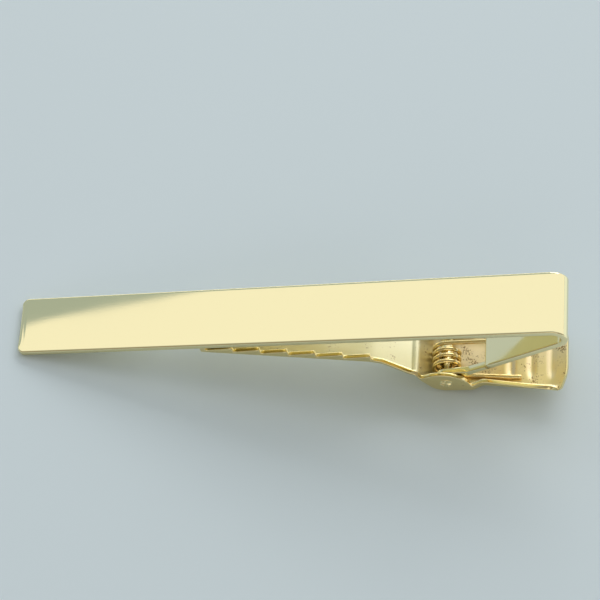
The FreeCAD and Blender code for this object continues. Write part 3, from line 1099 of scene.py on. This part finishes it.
@dataclass
class HingePin(Piece):
    """Pin through ears and lugs, with a low staked head at each end."""

    finishes = (PIN_GOLD,)
    diameter: float = 1.1
    ear_half: float = 3.6626
    head_radius: float = 0.66
    head_height: float = 0.2
    dome: float = 0.15
    stake_depth: float = 0.19
    stake_width: float = 0.2
    stake_reach: float = 0.6
    strokes: int = 3
    stroke_fade: float = 0.12
    rim_round: float = 0.06
    rim_steps: int = 3
    seat_sink: float = 0.02
    face_rings: int = 12
    sides: int = 72

    def head_rise(self, radius: float, angle: float) -> float:
        """Height of the head's face above the ear: domed, staked and rounded at its rim.

        Args:
            radius: distance from the axis.
            angle: angle round the axis.

        Returns:
            Height in millimetres.
        """
        share = radius / self.head_radius
        rise = self.head_height - self.dome * share ** 2
        turns = [angle - math.pi * stroke / self.strokes for stroke in range(self.strokes)]
        away = min(abs(radius * math.sin(turn)) for turn in turns)
        fade = min(1.0, max(0.0, (self.stake_reach - radius) / self.stroke_fade))
        rise -= self.stake_depth * fade * max(0.0, 1 - away / self.stake_width)
        past = (radius - self.head_radius + self.rim_round) / self.rim_round
        if past > 0:
            rise = max(0.0, rise - self.rim_round * (1 - math.sqrt(max(0.0, 1 - past ** 2))))
        return rise

    def spot(self, end: int, radius: float, angle: float, rise: float) -> Vector:
        """Place near an end (1 is +Y, -1 is -Y), by radius, angle round the axis and rise above the ear."""
        spot = HINGE + along(angle) * radius
        return Vector((spot.x, end * (self.ear_half + rise), spot.z))

    def build(self, rest: RestFrame) -> Object:
        """Build the pin and lay it in the frame.

        Args:
            rest: lie of the bar.

        Returns:
            The pin's object, riding on the lever.
        """
        shape = bmesh.new()
        angles = full_turn(self.sides)
        radii = [self.head_radius * step / self.face_rings for step in range(1, self.face_rings)]
        for turn in spaced(0, math.pi / 2, self.rim_steps)[1:]:
            radii.append(self.head_radius - self.rim_round * (1 - math.sin(turn)))
        ends = []
        for end in (-1, 1):
            rings = []
            for radius in radii:
                rises = [self.head_rise(radius, turn) for turn in angles]
                rings.append([self.spot(end, radius, turn, rise) for turn, rise in zip(angles, rises)])
            for radius in (self.head_radius, self.diameter / 2):
                rings.append([self.spot(end, radius, turn, -self.seat_sink) for turn in angles])
            ends.append(rings)
        verts = ring_faces(shape, ends[0] + ends[1][::-1])
        for end, ring in ((-1, verts[0]), (1, verts[-1])):
            hub = shape.verts.new(self.spot(end, 0, 0, self.head_rise(0, 0)))
            for step in range(self.sides):
                shape.faces.new((hub, ring[step], ring[(step + 1) % self.sides]))
        pin = mesh_object("Hinge_pin", shape, rest.matrix())
        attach(pin, "lever")
        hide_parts("hinge_pin")
        return pin


@dataclass
class TorsionSpring(Piece):
    """Wire wound round the pin, one leg along the tab and one behind the bar's leg."""

    finishes = (WIRE_GOLD,)
    has_flats = False
    wire: float = 0.42
    coil_radius: float = 1.19
    turns: float = 3.5
    near_y: float = -2.2
    far_y: float = 0.02
    tab_leg: float = 7.0
    tab_leg_y: float = -2.45
    tab_angle: float = 3.5
    bar_leg_end: float = 19.1
    leg_ease: float = 1.15
    leg_steps: int = 40
    coil_steps: int = 240
    end_steps: int = 16
    far_hold: float = 0.1
    near_hold: float = 0.05

    def middle_line(self) -> list[Vector]:
        """Middle of the wire from the end on the tab to the end behind the bar's leg.

        Returns:
            Places of the line.
        """
        tab = -math.radians(self.tab_angle)
        first = tab - math.pi / 2
        total = 2 * math.pi * self.turns + tab
        bottom = HINGE + along(first) * self.coil_radius
        line = []
        for step in range(self.leg_steps):
            share = 1 - step / self.leg_steps
            ease = share * share * (3 - 2 * share) ** 0.5
            y = self.near_y + (self.tab_leg_y - self.near_y) * min(1.0, ease * self.leg_ease)
            line.append(bottom + along(tab) * self.tab_leg * share + Vector((0, y, 0)))
        for share in spaced(0, 1, self.coil_steps):
            spot = HINGE + along(first - total * share) * self.coil_radius
            line.append(spot + Vector((0, self.near_y + (self.far_y - self.near_y) * share, 0)))
        last = line[-1]
        reach = self.bar_leg_end - last.x
        return line + [last + Vector((run, 0, 0)) for run in spaced(0, reach, self.end_steps)[1:]]

    def build(self, rest: RestFrame) -> Object:
        """Build the spring and lay it in the frame.

        Args:
            rest: lie of the bar.

        Returns:
            The spring's object.
        """
        spring = mesh_object("Torsion_spring", sweep(self.middle_line(), self.wire / 2), rest.matrix())
        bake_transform(spring)
        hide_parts("torsion_spring")
        return spring


@dataclass(frozen=True)
class Softbox:
    """Soft area light: the way to it from what it faces, its distance and size in metres, its radiance."""

    name: str
    way: Triple
    distance: float
    size: Pair
    radiance: float

    def hang(self, aim: Vector) -> Object:
        """Hang the light.

        Args:
            aim: place that the light faces.

        Returns:
            The light's object.
        """
        toward = Vector(self.way).normalized()
        wide = toward.cross(Vector((0, 0, 1))).normalized()
        tall = wide.cross(toward)
        data = bpy.data.lights.new(self.name, "AREA")
        data.shape = "RECTANGLE"
        data.size, data.size_y = self.size
        data.energy = self.radiance * WATTS_PER_RADIANCE * self.size[0] * self.size[1]
        made = bpy.data.objects.new(self.name, data)
        bpy.context.scene.collection.objects.link(made)
        axes = Matrix((-wide, tall, toward)).transposed()
        made.matrix_world = Matrix.Translation(aim + toward * self.distance) @ axes.to_4x4()
        made.visible_camera = False
        return made


@dataclass
class Studio:
    """Camera, soft light, pale world and the plain floor."""

    camera_turn: Triple = (-28.45959, -13.34685, -3.83367)
    camera_shift: Pair = (-1.16525, -1.26970)
    camera_distance: float = 251.40119
    focal_pixels: float = 2700.0
    image_pixels: float = 600.0
    sensor: float = 36.0
    clip_start: float = 0.01
    softboxes: tuple[Softbox, ...] = (
        Softbox("Back_softbox", (0.22, 0.82, 0.53), 0.60, (0.45, 0.24), 4.6),
        Softbox("Low_softbox", (-0.10, 0.95, 0.25), 0.60, (0.70, 0.12), 3.0),
        Softbox("Front_softbox", (0.15, -0.86, 0.48), 0.60, (0.46, 0.30), 1.0),
    )
    card: Softbox = Softbox("Right_card", (0, -0.001, -1), 0.1, (0.26, 0.40), 0.5)
    card_aim: Triple = (0.17, 0.05, 0.1005)
    floor_half: float = 1.5
    floor_rough: float = 0.9
    floor_colour: str = "#DFEBF0"
    tent: str = "#FFFFFF"
    wall_left: str = "#ACBAC2"
    wall_low: str = "#C4D2DE"
    wall_front: str = "#9C968A"
    tent_edge: Triple = (0.0385, -0.8368, 0.5461)
    tent_blur: float = 0.002
    # Soft edges between the tent and the walls, as limits along the world's axes
    tent_back: Pair = (0.1, 0.4)
    right_side: Pair = (0.1, 0.4)
    right_back: Pair = (0.0, 0.3)
    low_rise: Pair = (0.15, 0.5)
    front_back: Pair = (-0.4, 0.3)

    def camera(self, rest: RestFrame) -> Object:
        """Set up the camera at the photograph's angle.

        Args:
            rest: lie of the bar, in whose axes the camera was fitted.

        Returns:
            The scene's camera.
        """
        rx, ry, rz = (math.radians(angle) for angle in self.camera_turn)
        turn = Matrix.Rotation(rz, 3, "Z") @ Matrix.Rotation(rx, 3, "X") @ Matrix.Rotation(ry, 3, "Y")
        back = turn.transposed()
        eye = back @ Vector((-self.camera_shift[0], -self.camera_shift[1], self.camera_distance))
        data = bpy.data.cameras.new("Camera")
        data.sensor_width = self.sensor
        data.lens = self.focal_pixels / self.image_pixels * self.sensor
        data.clip_start = self.clip_start
        made = bpy.data.objects.new("Camera", data)
        bpy.context.scene.collection.objects.link(made)
        made.matrix_world = Matrix.Translation(rest.point(*eye)) @ (rest.turn @ back).to_4x4()
        bpy.context.scene.camera = made
        return made

    def world(self) -> None:
        """Pale surroundings: a white tent high up behind and on the right, grey walls elsewhere."""
        made = bpy.data.worlds.new("Studio")
        bpy.context.scene.world = made
        made.use_nodes = True
        tree = made.node_tree
        tree.nodes.clear()
        way = node(tree, "ShaderNodeTexCoord", {}, {}).outputs["Generated"]
        x, y, z = node(tree, "ShaderNodeSeparateXYZ", {}, {"Vector": way}).outputs

        def ramp(span: Pair, value: Socket) -> Socket:
            """Smooth step from zero to one."""
            return remap(tree, value, span, (0.0, 1.0), "SMOOTHSTEP")

        def join(kind: str, one: Socket, other: Socket) -> Socket:
            """Two values put together."""
            return node(tree, "ShaderNodeMath", {"operation": kind}, {0: one, 1: other}).outputs["Value"]

        def blend(share: Socket, colours: dict, links: dict) -> Socket:
            """Mix of two colours."""
            settings = {"data_type": "RGBA"} | {key: linear(colour) for key, colour in colours.items()}
            return node(tree, "ShaderNodeMix", settings, {0: share, **links}).outputs[MIX_RESULT]

        edge = {"operation": "DOT_PRODUCT", 1: self.tent_edge}
        side = node(tree, "ShaderNodeVectorMath", edge, {0: way}).outputs["Value"]
        roof = join("MULTIPLY", ramp((-self.tent_blur, self.tent_blur), side), ramp(self.tent_back, y))
        right = join("MULTIPLY", ramp(self.right_side, x), ramp(self.right_back, y))
        behind = blend(ramp(self.low_rise, z), {MIX_FIRST: self.wall_low, MIX_SECOND: self.wall_left}, {})
        walls = blend(ramp(self.front_back, y), {MIX_FIRST: self.wall_front}, {MIX_SECOND: behind})
        tint = blend(join("MAXIMUM", roof, right), {MIX_SECOND: self.tent}, {MIX_FIRST: walls})
        sky = node(tree, "ShaderNodeBackground", {"Strength": 1.0}, {"Color": tint})
        node(tree, "ShaderNodeOutputWorld", {}, {"Surface": sky.outputs["Background"]})

    def floor(self) -> Object:
        """Lay the plain pale floor.

        Returns:
            The floor.
        """
        shape = bmesh.new()
        bmesh.ops.create_grid(shape, x_segments=1, y_segments=1, size=self.floor_half)
        made = mesh_object("Floor", shape, Matrix.Identity(4))
        paint = bpy.data.materials.new("matt_painted_board")
        paint.use_nodes = True
        tree = paint.node_tree
        tree.nodes.clear()
        settings = {"Base Color": linear(self.floor_colour), "Roughness": self.floor_rough}
        board = node(tree, "ShaderNodeBsdfPrincipled", settings, {})
        node(tree, "ShaderNodeOutputMaterial", {}, {"Surface": board.outputs["BSDF"]})
        made.data.materials.append(paint)
        return made

    def build(self, rest: RestFrame) -> None:
        """Set up camera, lights, world and floor.

        Args:
            rest: lie of the bar.
        """
        bpy.context.scene.view_settings.view_transform = "Standard"
        self.camera(rest)
        for softbox in self.softboxes:
            softbox.hang(rest.place)
        self.card.hang(Vector(self.card_aim))
        self.world()
        self.floor()


def main() -> None:
    """Build the clip piece by piece, then the studio round it."""
    logging.basicConfig(level=logging.INFO, format="%(message)s")
    rest = RestFrame.from_record(frame["record"])
    for assembly in (FrontBar(), ClipLever(), HingePin(), TorsionSpring()):
        piece = assembly.build(rest)
        assembly.dress(piece)
        log.info("%s: %d faces", piece.name, len(piece.data.polygons))
    Studio().build(rest)


if __name__ == "__main__":
    main()
